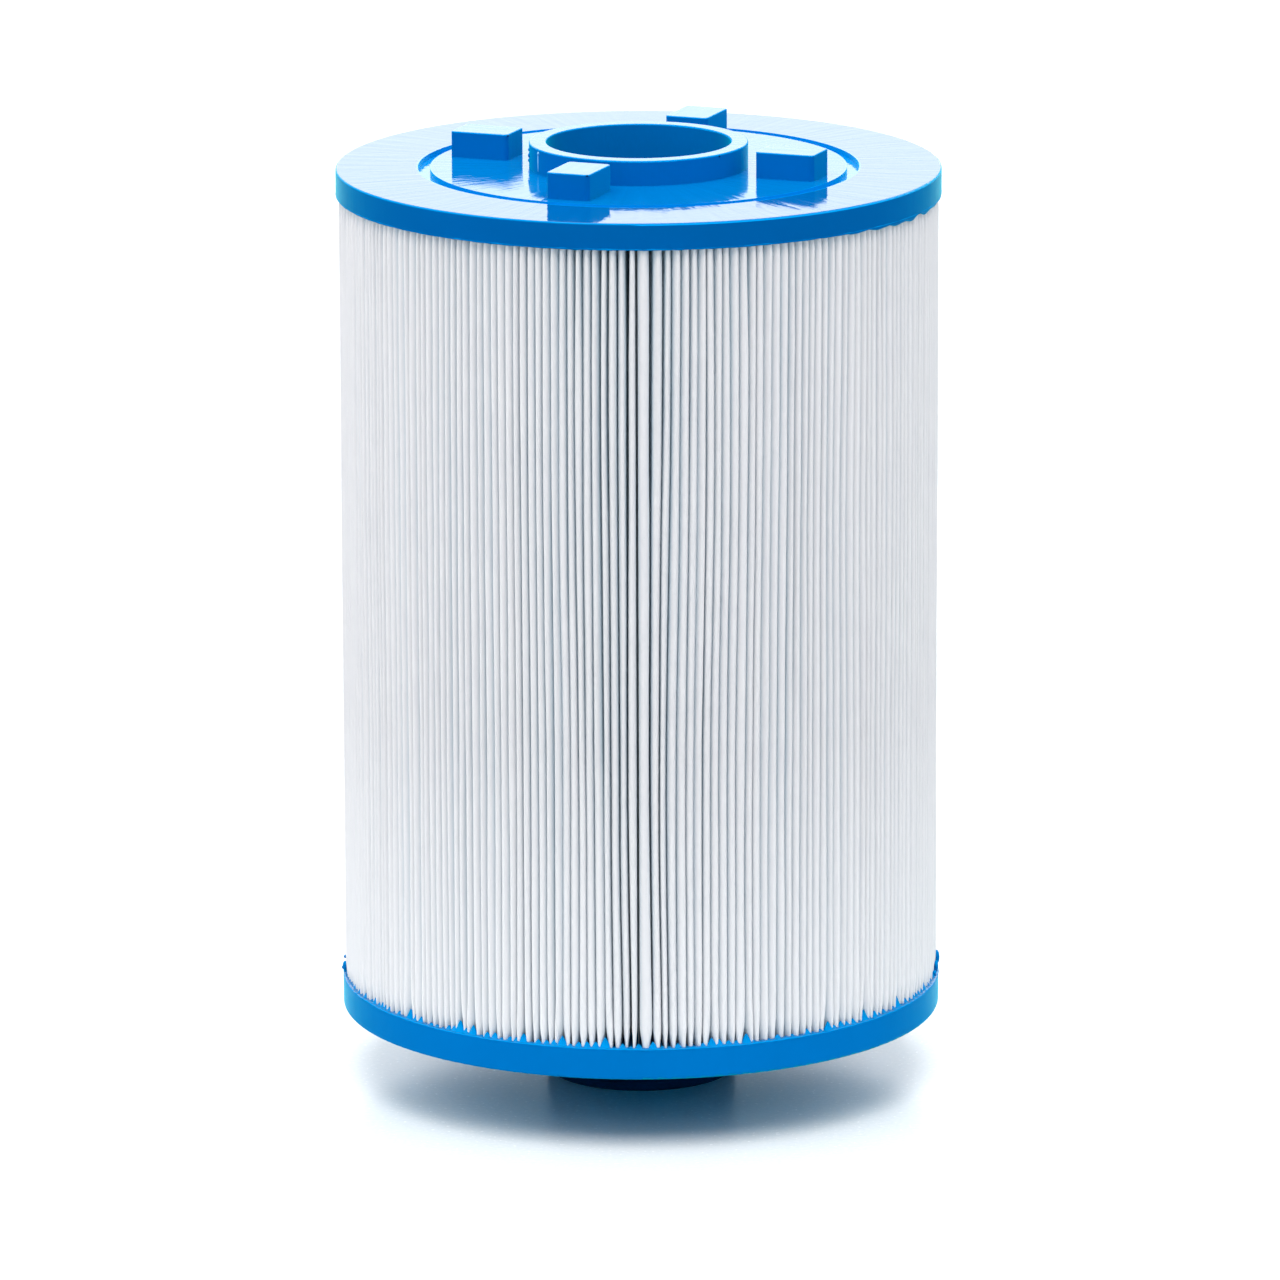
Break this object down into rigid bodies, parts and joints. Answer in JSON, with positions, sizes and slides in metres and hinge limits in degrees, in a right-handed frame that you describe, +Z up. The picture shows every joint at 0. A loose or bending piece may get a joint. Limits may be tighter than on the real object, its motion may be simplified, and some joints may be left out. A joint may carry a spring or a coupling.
{
  "type": "filter cartridge",
  "caption": "Pleated cylindrical filter cartridge with cast end caps, a lugged top collar, a perforated core and a male threaded outlet spigot.",
  "frame": {"origin": "centre of the spigot's lower end, on the cartridge's axis, where it stands", "axes": "+Z up along the cartridge's axis, from the threaded outlet to the lugged collar; -Y faces the viewer of the picture"},
  "size_m": [0.1524, 0.1524, 0.2417],
  "materials": {
    "cast_cap": "glossy cast polyurethane",
    "moulded_blue": "glossy moulded plastic",
    "moulded_navy": "satin moulded plastic",
    "core_plastic": "satin moulded plastic",
    "filter_fabric": "matte spun-bonded polyester",
    "seam_bond": "hot-melt adhesive"
  },
  "bodies": {
    "root": {"top_end_cap": "cast_cap", "bottom_end_cap": "cast_cap", "lug_plate": "moulded_blue", "threaded_spigot": "moulded_navy", "center_core": "core_plastic", "pleated_media": "filter_fabric", "media_seam": "seam_bond"}
  },
  "joints": []
}
